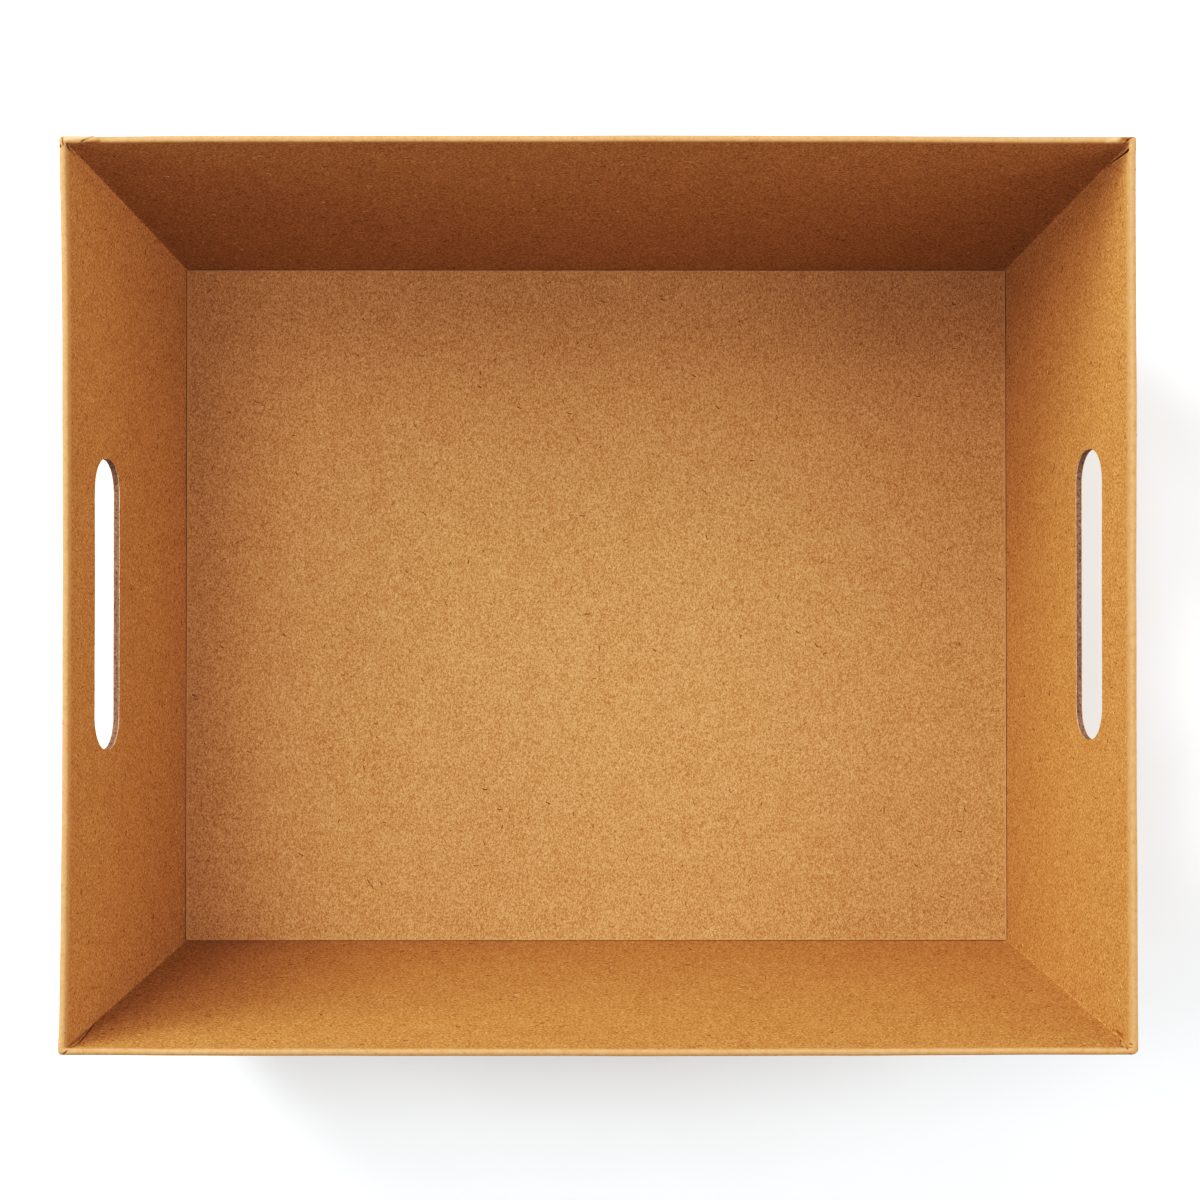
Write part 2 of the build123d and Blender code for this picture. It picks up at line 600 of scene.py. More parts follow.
# Gaps where the wrap's corner pleats stand open, down the inside from the rim. Each row holds, in mm,
# the distance along, the distance across and the width.
CORNER_GAPS = (
    (FRONT_LEFT, (
        (2.6, 1.5, 0.2), (5.5, 2.3, 0.26), (10, 2.3, 0.28),
        (17, 1.7, 0.28), (23, 1.1, 0.26), (30, 0.1, 0.1),
    )),
    (BACK_RIGHT, (
        (1.2, -1.2, 0.7), (2.2, -1.6, 1.1), (3.5, -1.8, 0.8), (6, -1.6, 0.5),
        (12, -1.0, 0.36), (17, -0.4, 0.24), (22, 0.1, 0.1),
    )),
)


def corner_gap_tubes(form, depth):
    """The tools that open the gaps in the corner pleats, to a depth below the skin."""
    above = 0.6 * MM
    sides = ((-1, above), (1, above), (1, -depth), (-1, -depth))
    tubes = []
    for corner, knots in CORNER_GAPS:
        along, across, width = np.array(knots).T * MM
        steps = np.linspace(along[0], along[-1], 3 * len(knots))
        middle = np.interp(steps, along, across)
        half = np.interp(steps, along, width) / 2
        edges = [form.skin(corner, middle + side * half, steps, lift) for side, lift in sides]
        tubes.append(list(np.stack(edges, axis=1)))
    return tubes


# ---------------------------------------------------------------- materials

MATH, VECTOR, RANGE = "ShaderNodeMath", "ShaderNodeVectorMath", "ShaderNodeMapRange"
NOISE, MIX, COMBINE = "ShaderNodeTexNoise", "ShaderNodeMix", "ShaderNodeCombineXYZ"


def add_node(tree, kind, links=None, **settings):
    """Adds a node with its settings, and fills its inputs with values or links.

    It gives the node's first output that is in use. The others are reached through that output's node.
    """
    node = tree.nodes.new(kind)
    for name, value in settings.items():
        setattr(node, name, value)
    for key, value in (links or {}).items():
        if isinstance(key, str):
            named = (i for i, socket in enumerate(node.inputs) if socket.enabled and socket.name == key)
            key = next(named)
        if isinstance(value, bpy.types.NodeSocket):
            tree.links.new(value, node.inputs[key])
        else:
            node.inputs[key].default_value = value
    return next((socket for socket in node.outputs if socket.enabled), None)


def new_group(name, kind, inputs, output, output_kind):
    """An empty node group with its inputs and its output, and the sockets of its inputs."""
    tree = bpy.data.node_groups.new(name, kind)
    for label, value in inputs.items():
        tree.interface.new_socket(label, in_out="INPUT", socket_type=f"NodeSocket{value}")
    tree.interface.new_socket(output, in_out="OUTPUT", socket_type=f"NodeSocket{output_kind}")
    return tree, add_node(tree, "NodeGroupInput").node.outputs


def new_material(name):
    """An empty node material with its output and a principled shader."""
    material = bpy.data.materials.new(name)
    material.use_nodes = True
    tree = material.node_tree
    tree.nodes.clear()
    surface = add_node(tree, "ShaderNodeBsdfPrincipled")
    add_node(tree, "ShaderNodeOutputMaterial", {"Surface": surface})
    place = add_node(tree, "ShaderNodeTexCoord").node.outputs["Object"]
    return material, tree, surface.node, place


def lumps(place, grain, detail=2.0, roughness=0.5):
    """The inputs of a noise whose lumps are about a grain wide, in metres."""
    return {"Vector": place, "Scale": 1 / grain, "Detail": detail, "Roughness": roughness}


def lay_colour(tree, tone, colour_on_top, value, low=0.0, high=1.0, most=1.0):
    """Lays a colour over a tone where a value is past low, fully at high, and no more than a share."""
    share = add_node(tree, RANGE, {"Value": value, "From Min": low, "From Max": high, "To Max": most})
    links = {"Factor": share, "A": tone, "B": tuple(colour_on_top)}
    return add_node(tree, MIX, links, data_type="RGBA")


def weigh(tree, *parts):
    """A sum about a half: each part is a noise and its weight."""
    total = 0.5 - sum(weight for _, weight in parts) / 2
    for value, weight in parts:
        total = add_node(tree, MATH, {0: value, 1: weight, 2: total}, operation="MULTIPLY_ADD")
    total.node.use_clamp = True
    return total


def near_line_group():
    """A node group: 1 on the line between two points and 0 a width away from it."""
    name = "near_line"
    if name in bpy.data.node_groups:
        return bpy.data.node_groups[name]
    inputs = {"Place": "Vector", "Start": "Vector", "End": "Vector", "Width": "Float"}
    tree, given = new_group(name, "ShaderNodeTree", inputs, "Nearness", "Float")
    way = add_node(tree, VECTOR, {0: given["Place"], 1: given["Start"]}, operation="SUBTRACT")
    run = add_node(tree, VECTOR, {0: given["End"], 1: given["Start"]}, operation="SUBTRACT")
    ahead = add_node(tree, VECTOR, {0: way, 1: run}, operation="DOT_PRODUCT").node.outputs["Value"]
    whole = add_node(tree, VECTOR, {0: run, 1: run}, operation="DOT_PRODUCT").node.outputs["Value"]
    share = add_node(tree, MATH, {0: ahead, 1: whole}, operation="DIVIDE", use_clamp=True)
    on_line = add_node(tree, VECTOR, {0: run, "Scale": share}, operation="SCALE")
    distance = add_node(tree, VECTOR, {0: way, 1: on_line}, operation="DISTANCE").node.outputs["Value"]
    links = {"Value": distance, "From Min": given["Width"], "From Max": 0.0}
    nearness = add_node(tree, RANGE, links, interpolation_type="SMOOTHSTEP")
    add_node(tree, "NodeGroupOutput", {"Nearness": nearness})
    return tree


def near_lines(tree, place, lines):
    """How near a place is to any of the lines, each given as its points, its width and its strength."""
    total = 0.0
    for points, width, strength in lines:
        for start, end in zip(points, points[1:]):
            links = {"Place": place, "Start": start, "End": end, "Width": width}
            near = add_node(tree, "ShaderNodeGroup", links, node_tree=near_line_group())
            near = add_node(tree, MATH, {0: near, 1: strength}, operation="MULTIPLY")
            total = add_node(tree, MATH, {0: total, 1: near}, operation="MAXIMUM")
    return total


def kraft_material(name, finish, paper_colour, grain_weight, run, painted_shadow_lines=(), pale_and_highlight_lines=(), smudges=()):
    """Unbleached machine kraft: matt, cloudy where the pulp lay thicker, and full of small flecks.

    The clouds are 9 and 2.4 mm across, the speckle 1 mm, the grain 0.5 mm and the bark specks 0.6 mm.
    run holds a share for x, y and z: the fibres are drawn out along an axis where its share is low.
    Where the sheet is folded over the rim or cut, broken fibres make it paler.
    """
    material, tree, shader, place = new_material(name)
    along_run = add_node(tree, "ShaderNodeMapping", {"Vector": place, "Scale": run})
    clouds = add_node(tree, NOISE, lumps(place, 9 * MM))
    mottle = add_node(tree, NOISE, lumps(place, 2.4 * MM, 1.0))
    speckle = add_node(tree, NOISE, lumps(along_run, 1.0 * MM, 0.0))
    grain = add_node(tree, NOISE, lumps(along_run, 0.5 * MM, 1.0, 0.7))
    light, deep = (
        (*(full * share for full, share in zip(paper_colour, shares)), 1.0)
        for shares in (finish.light_share, finish.deep_share)
    )
    dense = weigh(tree, (grain, grain_weight), (speckle, 0.18), (mottle, 0.14), (clouds, 0.14))
    tone = add_node(tree, MIX, {"Factor": dense, "A": light, "B": deep}, data_type="RGBA")
    cells = add_node(tree, "ShaderNodeTexVoronoi", {"Vector": place, "Scale": 1 / (6 * MM)})
    tone = lay_colour(tree, tone, finish.bark, cells, low=0.07, high=0.03, most=0.45)
    wear = add_node(tree, "ShaderNodeAttribute", attribute_name="wear").node.outputs["Fac"]
    links = {"Value": mottle, "From Min": 0.3, "From Max": 0.7, "To Min": 0.5, "To Max": 0.98}
    patchy = add_node(tree, RANGE, links)
    worn = add_node(tree, MATH, {0: wear, 1: patchy}, operation="MULTIPLY")
    tone = lay_colour(tree, tone, finish.kraft_pale, worn)
    height = add_node(tree, MATH, {0: mottle, 1: 0.8, 2: grain}, operation="MULTIPLY_ADD")
    if painted_shadow_lines:
        # The lines wander by about a third of a millimetre, as a torn or folded paper edge does
        wobble = add_node(tree, NOISE, lumps(place, 2.2 * MM)).node.outputs["Color"]
        wobble = add_node(tree, VECTOR, {0: wobble, 1: (0.5, 0.5, 0.5)}, operation="SUBTRACT")
        links = {0: wobble, 1: (0.7 * MM,) * 3, 2: place}
        wandered = add_node(tree, VECTOR, links, operation="MULTIPLY_ADD")
        # Brown smudges, then pale lines: partly painted highlight on the lit edges of pleats and
        # creases, partly pale rubbed paper
        for lines, line_colour in ((smudges, finish.smudge), (pale_and_highlight_lines, finish.pale_paper_and_highlight)):
            tone = lay_colour(tree, tone, line_colour, near_lines(tree, wandered, lines))
        # Painted shadow: dark lines under the pleats' lifted edges and in their creases, gaps and
        # notches
        near = near_lines(tree, wandered, painted_shadow_lines)
        tone = lay_colour(tree, tone, finish.painted_fold_shadow, near)
        height = add_node(tree, MATH, {0: near, 1: -2.0, 2: height}, operation="MULTIPLY_ADD")
    tree.links.new(tone, shader.inputs["Base Color"])
    bump = {"Height": height, "Strength": 0.4, "Distance": 0.08 * MM}
    tree.links.new(add_node(tree, "ShaderNodeBump", bump), shader.inputs["Normal"])
    gloss = add_node(tree, RANGE, {"Value": mottle, "To Min": 0.76, "To Max": 0.88})
    tree.links.new(gloss, shader.inputs["Roughness"])
    shader.inputs["Specular IOR Level"].default_value = 0.12
    return material


def greyboard_material(finish):
    """Greyboard pressed from waste paper, at its cut edge: soft layers, dark specks and pale shreds."""
    material, tree, shader, place = new_material("greyboard_waste_paper")
    layered = add_node(tree, "ShaderNodeMapping", {"Vector": place, "Scale": (1.0, 0.16, 1.0)})
    layers = add_node(tree, NOISE, lumps(layered, 0.5 * MM))
    shreds = add_node(tree, NOISE, lumps(place, 1.6 * MM, 3.0, 0.65))
    specks = add_node(tree, NOISE, lumps(place, 0.7 * MM, 2.0, 0.6))
    tone = tuple(finish.greyboard)
    tone = lay_colour(tree, tone, finish.greyboard_deep, layers, 0.4, 0.8, 0.45)
    tone = lay_colour(tree, tone, finish.greyboard_deep, specks, 0.52, 0.66, 0.85)
    tone = lay_colour(tree, tone, finish.kraft_pale, shreds, 0.55, 0.7, 0.4)
    tree.links.new(tone, shader.inputs["Base Color"])
    height = add_node(tree, MATH, {0: layers, 1: shreds}, operation="ADD")
    bump = {"Height": height, "Strength": 0.6, "Distance": 0.15 * MM}
    tree.links.new(add_node(tree, "ShaderNodeBump", bump), shader.inputs["Normal"])
    shader.inputs["Roughness"].default_value = 0.95
    shader.inputs["Specular IOR Level"].default_value = 0.2
    return material


def plain_material(name, tone):
    """An even matt material with a faint cloudiness, so that it never looks like a flat fill."""
    material, tree, shader, place = new_material(name)
    clouds = add_node(tree, NOISE, lumps(place, 40 * MM))
    darker = (*(channel * 0.96 for channel in tone[:3]), 1.0)
    mixed = lay_colour(tree, tuple(tone), darker, clouds)
    tree.links.new(mixed, shader.inputs["Base Color"])
    shader.inputs["Roughness"].default_value = 0.9
    return material


# ---------------------------------------------------------------- corner pleats

# Ends of pleats that lie over the wrap by a corner. Each row holds, in mm, the distance along from the
# top of the rim, and the distances across at which the paper starts and ends there.
CORNER_PLEATS = (
    (BACK_LEFT, (
        (-1.9, -11.4, 1.4), (-1.2, -10.4, 1.6), (0.0, -7.0, 1.7), (1.3, -4.3, 1.0), (1.8, -3.8, -0.4),
    )),
    (BACK_RIGHT, (
        (-1.9, -4.4, 0.8), (-1.2, -4.2, 1.1), (0.0, -4.0, 1.5), (1.2, -3.6, 0.6), (1.6, -3.2, -0.6),
    )),
    (FRONT_LEFT, (
        (-1.9, -5.0, 0.5), (-1.2, -5.2, 0.7), (0.0, -5.2, 1.1), (1.3, -5.0, 1.5), (2.4, -4.6, 0.9),
    )),
    (FRONT_RIGHT, (
        (-0.7, -1.5, 3.7), (0.2, -2.4, 3.8), (1.6, -2.7, 3.4), (5.2, -2.3, 2.4), (10, -0.6, 0.6),
    )),
)

# Painted shadow lines by each corner, under the pleats' lifted edges and in their creases, gaps and
# notches: width, strength, then points of across and along, in mm
FOLD_SHADOW_LINES = {
    BACK_LEFT: (
        (0.50, 0.90, ((-3.9, 1.6), (-5.6, 0.6), (-6.8, 0.2))),
        (0.40, 0.50, ((-6.8, 0.2), (-11.0, -1.4))),
        (0.80, 1.00, ((2.5, -1.7), (2.8, -0.7))),
        (0.45, 0.80, ((-0.35, -0.5), (0.2, 0.0), (1.2, 0.3))),
        (0.90, 0.85, ((0.2, 1.6), (0.7, 5.0))),
        (0.60, 0.45, ((0.7, 5.0), (0.9, 10.0))),
    ),
    BACK_RIGHT: (
        (0.55, 0.95, ((1.6, 0.2), (1.1, -1.2), (0.8, -2.2))),
        (0.45, 0.85, ((1.6, 1.6), (1.6, 0.2))),
        (0.36, 0.70, ((-4.2, -2.0), (-3.2, 1.4))),
        (0.55, 1.00, ((-10.6, -1.3), (-10.5, -1.1))),
    ),
    FRONT_LEFT: (
        (0.50, 0.70, ((-6.0, -1.9), (-5.0, 1.4))),
        (0.55, 0.95, ((-0.6, -2.0), (0.2, -1.5))),
        (0.50, 0.85, ((0.9, -0.4), (1.3, 0.2))),
        (0.42, 0.70, ((1.3, 0.2), (1.6, 2.6))),
    ),
    FRONT_RIGHT: (
        (0.42, 0.65, ((-0.7, 9.6), (-2.4, 5.0), (-2.6, 2.4), (-0.6, 1.4))),
        (0.50, 0.95, ((-1.7, 1.0), (-1.8, -1.3))),
        (0.42, 0.75, ((0.7, 3.0), (1.4, 1.0), (2.3, -1.9))),
        (0.42, 0.70, ((0.0, 1.3), (1.0, -1.2))),
    ),
}
# Pale lines by each corner, in the same columns: painted highlights on the lit edges of pleats and
# creases, and pale rubbed paper
PALE_AND_HIGHLIGHT_LINES = {
    FRONT_LEFT: (
        (0.60, 0.85, ((-6.9, -1.9), (-5.9, 1.4))),
        (0.60, 0.5, ((1.2, 3.0), (1.8, 10.0), (1.0, 18.0))),
    ),
    BACK_RIGHT: (
        (0.55, 0.45, ((-2.5, 4.0), (-1.9, 10.0), (-0.9, 17.0))),
        (1.3, 0.60, ((5.0, -0.6), (7.6, 0.6))),
    ),
    BACK_LEFT: (
        (1.2, 0.75, ((-1.0, -0.3), (-5.6, -0.8), (-9.5, -1.4))),
    ),
    FRONT_RIGHT: (
        (0.80, 0.6, ((-1.6, 3.0), (-1.2, 7.0))),
    ),
}
SMUDGES = {
    BACK_RIGHT: (
        (1.8, 0.85, ((2.3, -0.4), (4.1, -0.2))),
    ),
    BACK_LEFT: (
        (1.3, 0.60, ((-6.6, 1.4), (-11.0, 0.6))),
    ),
    FRONT_RIGHT: (
        (0.9, 0.80, ((0.8, 17.5), (0.4, 19.0))),
        (1.2, 0.75, ((1.3, 15.0), (1.1, 10.0))),
    ),
}


def corner_numbers(form, points):
    """1 to 4 for the points by each corner's pleats, and 0 for the rest."""
    reach = 36 * MM
    numbers = np.zeros(len(points), int)
    x, y, z = points.T
    for corner, (side_x, side_y) in enumerate(CORNERS):
        close_x, close_y = x * side_x > form.half_width - reach, y * side_y > form.half_depth - reach
        numbers[close_x & close_y & (z > form.sizes.height - reach)] = corner + 1
    return numbers


def placed_lines(form, lines, corner):
    """One corner's lines as points on the settled skin, with their widths and strengths."""
    placed = []
    for width, strength, knots in lines.get(corner, ()):
        across, along = np.array(knots).T * MM
        points = form.settle(form.skin(corner, across, along, form.sizes.paper / 2))
        placed.append((points.tolist(), width * MM, strength))
    return placed


def pleat_tube(form, corner, knots):
    """A pleat's end: a thin sheet that follows the skin, closed all round."""
    along, first, second = np.array(knots).T * MM
    steps = np.linspace(along[0], along[-1], 4 * len(knots))
    near, far = np.interp(steps, along, first), np.interp(steps, along, second)
    across = near[:, None] + (far - near)[:, None] * np.linspace(0, 1, 17)
    gap = 0.01 * MM
    lifts = (gap, gap + form.sizes.paper * 0.6)
    below, above = (form.skin(corner, across, steps[:, None], lift) for lift in lifts)
    return [np.concatenate([lower, upper[::-1]]) for lower, upper in zip(below, above)]


# ---------------------------------------------------------------- loose fibres, by geometry nodes


def fibre_tree(name):
    """A geometry tree that strews short bent fibres over a surface."""
    inputs = {"Surface": "Geometry", "Density": "Float", "Fibre Length": "Float"}
    inputs.update({"Fibre Width": "Float", "Seed": "Int", "Material": "Material"})
    tree, given = new_group(name, "GeometryNodeTree", inputs, "Fibres", "Geometry")
    papered = add_node(tree, "GeometryNodeInputNamedAttribute", {"Name": "papered"}, data_type="FLOAT")
    density = add_node(tree, MATH, {0: given["Density"], 1: papered}, operation="MULTIPLY")
    links = {"Mesh": given["Surface"], "Density": density, "Seed": given["Seed"]}
    scattered = add_node(tree, "GeometryNodeDistributePointsOnFaces", links)
    links = {"Resolution": 3, "Start": (-0.5, 0, 0), "Middle": (0, 0.22, 0), "End": (0.5, 0, 0)}
    bend = add_node(tree, "GeometryNodeCurveQuadraticBezier", links)
    thread = add_node(tree, "GeometryNodeCurvePrimitiveCircle", {"Resolution": 3, "Radius": 0.5})
    slim = add_node(tree, MATH, {0: given["Fibre Width"], 1: given["Fibre Length"]}, operation="DIVIDE")
    slim = add_node(tree, COMBINE, {"X": slim, "Y": slim, "Z": 1.0})
    thin = add_node(tree, "GeometryNodeTransform", {"Geometry": thread, "Scale": slim})
    links = {"Curve": bend, "Profile Curve": thin, "Fill Caps": True}
    fibre = add_node(tree, "GeometryNodeCurveToMesh", links)
    turn, stretch = (
        add_node(tree, "FunctionNodeRandomValue", {**ends, "Seed": given["Seed"]}, data_type="FLOAT")
        for ends in ({"Min": 0.0, "Max": 2 * math.pi}, {"Min": 0.4, "Max": 1.2})
    )
    spun = add_node(tree, "FunctionNodeAxisAngleToRotation", {"Axis": (0, 0, 1), "Angle": turn})
    links = {"Rotation": scattered.node.outputs["Rotation"], "Rotate By": spun}
    turned = add_node(tree, "FunctionNodeRotateRotation", links, rotation_space="LOCAL")
    reach = add_node(tree, MATH, {0: given["Fibre Length"], 1: stretch}, operation="MULTIPLY")
    reach = add_node(tree, COMBINE, {"X": reach, "Y": reach, "Z": reach})
    links = {"Points": scattered, "Instance": fibre, "Rotation": turned, "Scale": reach}
    strewn = add_node(tree, "GeometryNodeInstanceOnPoints", links)
    solid = add_node(tree, "GeometryNodeRealizeInstances", {"Geometry": strewn})
    links = {"Geometry": solid, "Material": given["Material"]}
    dyed = add_node(tree, "GeometryNodeSetMaterial", links)
    add_node(tree, "NodeGroupOutput", {"Fibres": dyed})
    return tree


def strew_fibres(name, surface, material, density, fibre_length, fibre_width, seed):
    """A piece made of loose fibres strewn over a surface mesh."""
    tree = bpy.data.node_groups.get("strewn_fibres") or fibre_tree("strewn_fibres")
    thing = add_object(name, surface.copy())
    strew = thing.modifiers.new("Fibres", "NODES")
    strew.node_group = tree
    values = {"Density": density, "Fibre Length": fibre_length, "Fibre Width": fibre_width}
    values.update({"Seed": seed, "Material": material})
    for socket in tree.interface.items_tree:
        if socket.name in values:
            strew[socket.identifier] = values[socket.name]
    bake_modifiers(thing)
    return thing


# ---------------------------------------------------------------- operators


class TrayBoxOperator(bpy.types.Operator):
    """What the building operators share."""

    bl_options = {"REGISTER", "UNDO"}

    def form(self, context):
        """The tray's form, from the scene's sizes."""
        return TrayForm(context.scene.tray_box_sizes)


class TRAYBOX_OT_board(TrayBoxOperator):
    """Build the folded greyboard, with its corner seams and its punched hand slots"""

    bl_idname = "tray_box.board"
    bl_label = "Greyboard"
    gap_depth = 1.4 * MM

    def execute(self, context):
        form = self.form(context)
        board = loft("greyboard_core", form.rings(form.sizes.paper), True)
        seams = [seam_tube(form, corner) for corner in range(4)]
        for tubes in (slot_tubes(form) + seams, corner_gap_tubes(form, self.gap_depth)):
            cut(board, closed_tubes("board_cutter", tubes))
        settle_mesh(form, board.data)
        material = greyboard_material(context.scene.tray_box_finish)
        finish_piece(board, [material], "greyboard_tray")
        return {"FINISHED"}


class TRAYBOX_OT_wrap(TrayBoxOperator):
    """Build the glued kraft paper wrap, with the ends of its corner pleats"""

    bl_idname = "tray_box.wrap"
    bl_label = "Kraft wrap"
    grain = (1.6, (0.7, 0.7, 0.8))  # its weight, and the shares of x, y and z
    gap_depth = 0.5 * MM
    # How far the wear reaches and then fades, in mm: right, back, left and front walls
    worn_runs = ((6.2, 2.6), (3.2, 0.9), (5.8, 2.6), (3.4, 0.9))
    worn_outside, fade_outside = 1.4 * MM, 1.2 * MM

    def execute(self, context):
        form = self.form(context)
        wrap = loft("kraft_wrap_sheet", form.rings(0), False)
        modify(wrap, "SOLIDIFY", thickness=form.sizes.paper, offset=-1, use_even_offset=True)
        tubes = slot_tubes(form) + corner_gap_tubes(form, self.gap_depth)
        cut(wrap, closed_tubes("wrap_cutter", tubes))
        join_mesh(wrap, closed_tubes("pleats", [pleat_tube(form, *pleat) for pleat in CORNER_PLEATS]))
        mesh = wrap.data
        paint(mesh, "wear", self.wear(form, read_vectors(mesh.vertices, "co")))
        finish = context.scene.tray_box_finish
        materials = [kraft_material("kraft_paper_machine_made", finish, finish.kraft, *self.grain)]
        for corner, name in enumerate(CORNER_NAMES):
            # Each corner's material carries its painted shadow lines, its pale and painted highlight
            # lines and its brown smudges
            lines = [placed_lines(form, group, corner) for group in (FOLD_SHADOW_LINES, PALE_AND_HIGHLIGHT_LINES, SMUDGES)]
            pleated = f"kraft_paper_pleated_{name}"
            materials.append(kraft_material(pleated, finish, finish.kraft, *self.grain, *lines))
        materials.append(kraft_material("kraft_paper_cut_edge", finish, finish.kraft_pale, *self.grain))
        numbers = corner_numbers(form, read_vectors(mesh.polygons, "center"))
        numbers[slot_edge_faces(form, mesh)] = len(materials) - 1
        settle_mesh(form, mesh)
        finish_piece(wrap, materials, "kraft_wrap")
        mesh.polygons.foreach_set("material_index", numbers.astype(np.int32))
        mesh.update()
        return {"FINISHED"}

    def wear(self, form, points):
        """Wear from 0 to 1: over the whole rim, a few mm down the inside and a little down the outside.

        It reaches a distance from the rim's outer edge, and fades over another, for each wall.
        """
        depth = form.depth_at(points)
        _, outer_level = form.place(form.shoulder, 0)
        _, inner_level = form.place(form.shoulder, form.wall)
        below_outer = np.maximum(outer_level - points[:, 2], 0) / form.cos
        below_inner = np.maximum(inner_level - points[:, 2], 0) / form.cos
        run = np.where(depth > form.wall / 2, depth + below_inner, depth - below_outer)
        right, back, left, front = np.array(self.worn_runs) * MM
        at_ends = np.where(points[:, :1] > 0, right, left)
        at_sides = np.where(points[:, 1:2] > 0, back, front)
        reach, fade = np.where(form.on_end_walls(points)[:, None], at_ends, at_sides).T
        inside = (reach - run) / fade
        outside = (run + self.worn_outside) / self.fade_outside
        return np.clip(inside, 0, 1) * np.clip(outside, 0, 1)


class TRAYBOX_OT_liner(TrayBoxOperator):
    """Build the paper sheet on the tray's floor, with its cut edges curled up a little"""

    bl_idname = "tray_box.liner"
    bl_label = "Floor sheet"
    spare = 0.32 * MM  # the sheet is pressed out to the walls, into the clearance round it
    edge = 0.9 * MM  # the strip along a cut edge that curls up and is paler
    curl = 0.12 * MM
    cells = (120, 100)
    grain = (1.45, (1.3, 0.85, 1.0))  # its weight, and the shares of x, y and z

    def execute(self, context):
        edge, spare = self.edge, Vector((self.spare, self.spare))
        low, high = LINER_LOW.xy - spare, LINER_HIGH.xy + spare
        runs = []
        for start, end, cells in zip(low, high, self.cells):
            inner = np.linspace(start + edge, end - edge, cells)
            runs.append(np.concatenate([[start, start + edge / 2], inner, [end - edge / 2, end]]))
        x, y = np.meshgrid(*runs)
        to_edge = np.minimum(*self.edge_distances(x, y, low, high))
        curl = np.clip(1 - to_edge / edge, 0, 1) * self.curl
        top = np.stack([x, y, LINER_HIGH.z + curl], axis=-1).reshape(-1, 3)
        rows, columns = x.shape
        starts = [row * columns + i for row in range(rows - 1) for i in range(columns - 1)]
        faces = [(at, at + 1, at + columns + 1, at + columns) for at in starts]
        liner = mesh_object("floor_sheet", top, faces)
        modify(liner, "SOLIDIFY", thickness=LINER_HIGH.z - LINER_LOW.z, offset=-1)
        x, y, _ = read_vectors(liner.data.vertices, "co").T
        distances = self.edge_distances(x, y, low, high)
        worn_sides, worn_ends = (np.clip(1.6 - 2 * run / edge, 0, 1) for run in distances)
        paint(liner.data, "wear", np.maximum(worn_sides, 0.6 * worn_ends))
        finish = context.scene.tray_box_finish
        material = kraft_material("kraft_paper_floor_sheet", finish, finish.liner, *self.grain)
        finish_piece(liner, [material], "floor_liner")
        return {"FINISHED"}

    def edge_distances(self, x, y, low, high):
        """How far points are from the sheet's nearer side edge, and from its front or back edge."""
        return np.minimum(x - low.x, high.x - x), np.minimum(y - low.y, high.y - y)


class TRAYBOX_OT_fibres(TrayBoxOperator):
    """Strew the loose dark and pale fibres that lie in the face of the kraft paper"""

    bl_idname = "tray_box.fibres"
    bl_label = "Paper fibres"

    def execute(self, context):
        form = self.form(context)
        finish = context.scene.tray_box_finish
        carrier = loft("fibre_carrier", form.rings(0), False)
        join_mesh(carrier, flat_sheet("floor_patch", LINER_LOW, LINER_HIGH, LINER_HIGH.z))
        points = read_vectors(carrier.data.vertices, "co")
        paint(carrier.data, "papered", self.papered(form, points))
        settle_mesh(form, carrier.data)
        kinds = (
            ("dark_fibres", finish.bark, 4200, 1.5 * MM, 0.26 * MM, 3),
            ("pale_fibres", finish.pale_paper_and_highlight, 3600, 1.4 * MM, 0.22 * MM, 8),
        )
        for name, tone, *measures in kinds:
            material = plain_material(f"kraft_{name}", tone)
            piece = strew_fibres(name, carrier.data, material, *measures)
            finish_piece(piece, [material], None)
        discard(carrier)
        return {"FINISHED"}

    def papered(self, form, points):
        """1 where there is paper, and 0 round the hand slots and on the rim."""
        sizes = form.sizes
        x, y, z = points.T
        on_end_wall = form.on_end_walls(points) & (z > LINER_HIGH.z + sizes.fold_round)
        shift = np.where(x < 0, sizes.left_slot_shift, sizes.right_slot_shift)
        middle = sizes.height - (sizes.slot_drop + sizes.slot_height / 2) * form.cos
        margin = 6 * MM
        in_run = np.abs(y - shift) < sizes.slot_length / 2 + margin
        in_rise = np.abs(z - middle) < sizes.slot_height / 2 + margin
        below_rim = (z < sizes.height - 3 * MM) & (z > sizes.fold_round)
        return (below_rim & ~(on_end_wall & in_run & in_rise)).astype(float)


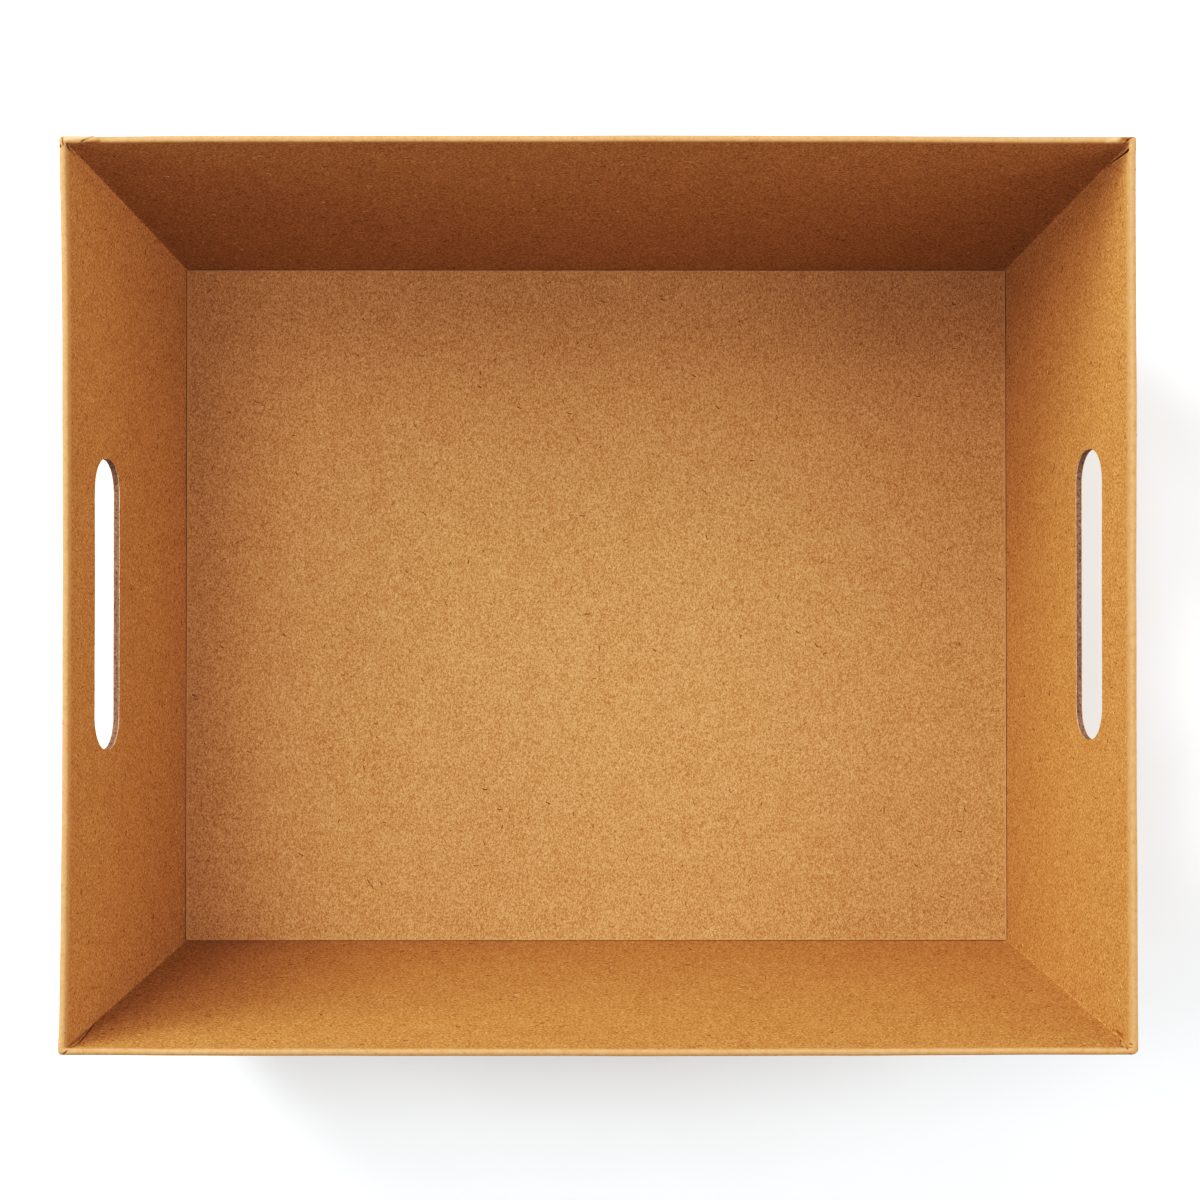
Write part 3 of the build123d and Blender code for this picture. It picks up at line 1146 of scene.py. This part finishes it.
class TRAYBOX_OT_studio(TrayBoxOperator):
    """Set up the camera, the soft lights and the plain floor"""

    bl_idname = "tray_box.studio"
    bl_label = "Studio"
    floor_reach = 4.0

    def execute(self, context):
        scene = context.scene
        studio = scene.tray_box_studio
        camera_data = bpy.data.cameras.new("studio_camera")
        camera_data.lens = studio.lens_mm
        camera_data.sensor_width = 36
        camera_data.clip_end = 20
        scene.camera = add_object("studio_camera", camera_data)
        scene.camera.location = studio.camera_place
        scene.camera.rotation_euler = studio.camera_turn

        low, high = (-self.floor_reach,) * 2, (self.floor_reach,) * 2
        floor = flat_sheet("studio_floor", low, high, 0)
        floor.data.materials.append(plain_material("studio_floor_matt", studio.floor_colour))

        for name, place, size, share in SOFT_LIGHTS:
            self.area_light(name, place, size, share * studio.light_power)
        world = bpy.data.worlds.new("studio_world")
        world.use_nodes = True
        background = world.node_tree.nodes["Background"]
        background.inputs["Color"].default_value = (1, 1, 1, 1)
        background.inputs["Strength"].default_value = studio.sky_strength
        scene.world = world
        view = scene.view_settings
        view.view_transform = "Standard"
        view.gamma = studio.contrast
        view.use_curve_mapping = True
        mapping = view.curve_mapping
        curve = mapping.curves[3]  # the one for all three channels
        curve.points[-1].location = (1.0, WHITE_RESPONSE)
        for light_in, light_out in RESPONSE:
            curve.points.new(light_in, light_out)
        mapping.update()
        return {"FINISHED"}

    def area_light(self, name, place, size, power):
        """A square soft light that faces the tray."""
        data = bpy.data.lights.new(name, "AREA")
        data.size = size
        data.energy = power
        light = add_object(name, data)
        light.location = place
        light.rotation_euler = (-Vector(place)).to_track_quat("-Z", "Y").to_euler()


class VIEW3D_PT_tray_box(bpy.types.Panel):
    """The tray box's sizes, finishes and building steps"""

    bl_label = "Tray Box"
    bl_space_type = "VIEW_3D"
    bl_region_type = "UI"
    bl_category = "Tray Box"

    def draw(self, context):
        layout = self.layout
        for operator in OPERATORS:
            layout.operator(operator.bl_idname)
        for setting, group in GROUPS.items():
            box = layout.box()
            for name in group.__annotations__:
                label = name.replace("_", " ").capitalize()
                box.prop(getattr(context.scene, setting), name, text=label)


OPERATORS = (TRAYBOX_OT_studio, TRAYBOX_OT_board, TRAYBOX_OT_wrap, TRAYBOX_OT_liner, TRAYBOX_OT_fibres)
GROUPS = {
    "tray_box_sizes": TrayBoxSizes,
    "tray_box_finish": TrayBoxFinish,
    "tray_box_studio": TrayBoxStudio,
}


def register():
    """Adds the classes and the scene's settings."""
    for cls in (*GROUPS.values(), *OPERATORS, VIEW3D_PT_tray_box):
        bpy.utils.register_class(cls)
    for name, group in GROUPS.items():
        setattr(bpy.types.Scene, name, PointerProperty(type=group))


def unregister():
    """Removes what register added."""
    for name in GROUPS:
        delattr(bpy.types.Scene, name)
    for cls in (VIEW3D_PT_tray_box, *OPERATORS, *GROUPS.values()):
        bpy.utils.unregister_class(cls)


def main():
    """Builds the whole scene."""
    register()
    bpy.ops.tray_box.studio()
    bpy.ops.tray_box.board()
    bpy.ops.tray_box.wrap()
    bpy.ops.tray_box.liner()
    bpy.ops.tray_box.fibres()


if __name__ == "__main__":
    main()
